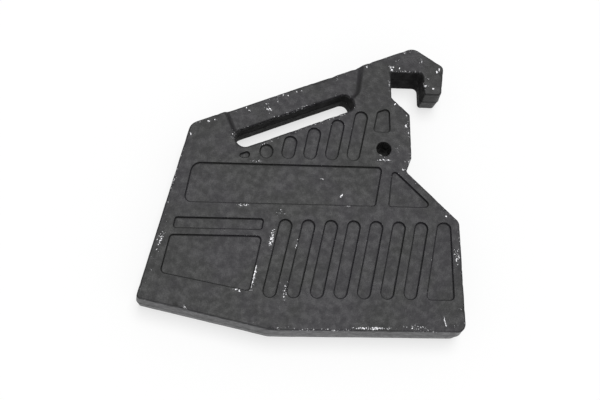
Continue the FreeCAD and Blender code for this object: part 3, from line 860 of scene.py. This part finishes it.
def black_paint():
    """Satin black paint over sand-cast iron: two blacks in soft patches, a grain that comes through the paint,
    and bare grey metal in specks where it is chipped or its rims are rubbed. Painted shade makes it near black
    inside the slot, the rod hole and the notch, and a painted reflection of the floor lightens the walls facing the
    foot in streaks."""
    s = Shader("black_paint")
    place = s.add("TexCoord").outputs["Object"]
    chips = s.add("Attribute", {"attribute_name": "chips"}).outputs["Fac"]
    rims = s.add("Attribute", {"attribute_name": "rim_wear"}).outputs["Fac"]
    opening_shade = s.add("Attribute", {"attribute_name": "opening_shade"}).outputs["Fac"]
    floor_reflection = s.add("Attribute", {"attribute_name": "floor_reflection"}).outputs["Fac"]
    patches = s.noise(place, 15.0, 3.0, 0.55)
    blotches = s.noise(place, 110.0, 3.0, 0.6)
    grain = s.noise(place, 420.0, 3.0, 0.65)
    specks = s.noise(place, 480.0, 2.5, 0.62)
    along = s.add("Mapping", Vector=place, Scale=(0.16, 1.0, 1.0)).outputs[0]
    streaks = s.noise(along, 520.0, 3.0, 0.6)
    rubbed = s.math("MULTIPLY", rims, s.spread(s.noise(place, 15.0, 2.0), 0.4, 0.7, 0.16, 0.52))
    gone = s.math("MAXIMUM", chips, rubbed)
    over = s.math("ADD", specks, s.math("MULTIPLY", gone, 0.36))
    bare = s.spread(over, 0.765, 0.815)
    black = s.mix(s.spread(patches, 0.38, 0.62), (0.0085, 0.0088, 0.0084, 1), (0.0118, 0.0108, 0.0136, 1))
    dusty = s.math("MULTIPLY", s.spread(blotches, 0.42, 0.72, 0.15, 1.0), s.spread(grain, 0.46, 0.72, 0.0, 0.62))
    paint = s.mix(dusty, black, (0.042, 0.041, 0.044, 1))
    # Painted reflection: those walls are lightened to grey in streaks, standing in for the floor's light on them
    reflection_streaks = s.math("MULTIPLY", floor_reflection, s.spread(streaks, 0.36, 0.66, 0.25, 1.0))
    paint = s.mix(reflection_streaks, paint, (0.13, 0.13, 0.135, 1))
    # Painted shade: the paint is made near black inside the slot, the rod hole and the notch
    paint = s.mix(opening_shade, paint, (0.004, 0.0038, 0.0042, 1))
    glints = s.spread(s.noise(place, 900.0, 2.0), 0.35, 0.65)
    metal = s.mix(glints, (0.2, 0.2, 0.205, 1), (0.78, 0.78, 0.8, 1))
    colour = s.mix(bare, paint, metal)
    rough = s.math("ADD", s.spread(blotches, 0.3, 0.7, 0.4, 0.56), s.math("MULTIPLY", opening_shade, 0.36))
    height = s.math("ADD", s.math("MULTIPLY", grain, 0.7), s.math("MULTIPLY", blotches, 0.9))
    height = s.math("SUBTRACT", height, s.math("MULTIPLY", bare, 0.25))
    bump = s.add("Bump", Strength=0.5, Distance=0.0009, Height=height)
    shine = s.add("BsdfPrincipled", Base_Color=colour, Metallic=s.math("MULTIPLY", bare, 0.4),
                  Roughness=rough, Normal=bump.outputs[0])
    shine.inputs["IOR"].default_value = 1.36
    s.add("OutputMaterial", Surface=shine.outputs[0])
    return s.material


def pale_floor():
    """White paper: a plain diffuse white that also shines a little to the camera and in reflections, so that
    it is white where no shadow falls."""
    s = Shader("pale_floor")
    path = s.add("LightPath")
    seen = s.math("MAXIMUM", path.outputs["Is Camera Ray"], path.outputs["Is Glossy Ray"])
    paper = s.add("BsdfDiffuse", Color=(0.85, 0.85, 0.85, 1))
    half = s.add("BsdfDiffuse", Color=(0.31, 0.31, 0.31, 1))
    glow = s.add("Emission", Color=(1, 1, 1, 1), Strength=0.7)
    lit = s.add("AddShader", _0=half.outputs[0], _1=glow.outputs[0])
    both = s.add("MixShader", _0=seen, _1=paper.outputs[0], _2=lit.outputs[0])
    s.add("OutputMaterial", Surface=both.outputs[0])
    return s.material


casting.data.materials.append(black_paint())
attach(casting, "root")
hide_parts("suitcase_weight")

# ---------------------------------------------------------------- floor, light and camera
floor_mesh = bpy.data.meshes.new("floor")
floor_mesh.from_pydata([(-9, -9, 0), (9, -9, 0), (9, 9, 0), (-9, 9, 0)], [], [(0, 1, 2, 3)])
floor = bpy.data.objects.new("floor", floor_mesh)
bpy.context.scene.collection.objects.link(floor)
floor.data.materials.append(pale_floor())

world = bpy.data.worlds.new("studio")
bpy.context.scene.world = world
world.use_nodes = True
tree = world.node_tree
tree.nodes.clear()
path = tree.nodes.new("ShaderNodeLightPath")
either = tree.nodes.new("ShaderNodeMath")
either.operation = "MAXIMUM"
tree.links.new(path.outputs["Is Camera Ray"], either.inputs[0])
tree.links.new(path.outputs["Is Glossy Ray"], either.inputs[1])
strength = tree.nodes.new("ShaderNodeMapRange")
strength.inputs["To Min"].default_value = 0.45
strength.inputs["To Max"].default_value = 1.0
tree.links.new(either.outputs[0], strength.inputs["Value"])
background = tree.nodes.new("ShaderNodeBackground")
background.inputs["Color"].default_value = (1, 1, 1, 1)
tree.links.new(strength.outputs[0], background.inputs["Strength"])
tree.links.new(background.outputs[0], tree.nodes.new("ShaderNodeOutputWorld").inputs["Surface"])

sun_data = bpy.data.lights.new("softbox", "SUN")
sun_data.energy = 1.75
sun_data.angle = math.radians(30)
sun = bpy.data.objects.new("softbox", sun_data)
sun.rotation_euler = (math.radians(-14), math.radians(4.6), 0)
bpy.context.scene.collection.objects.link(sun)

camera_data = bpy.data.cameras.new("camera")
camera_data.lens = 60.0
camera_data.sensor_width = 36.0
camera_data.clip_start = 0.05
camera_data.clip_end = 60.0
camera = bpy.data.objects.new("camera", camera_data)
bpy.context.scene.collection.objects.link(camera)
camera.location = (-0.1354, -0.4276, 1.3480)
camera.rotation_euler = (math.radians(17.12), math.radians(-5.73), math.radians(-0.25))
bpy.context.scene.camera = camera
bpy.context.scene.view_settings.view_transform = "Standard"

bpy.context.view_layer.update()
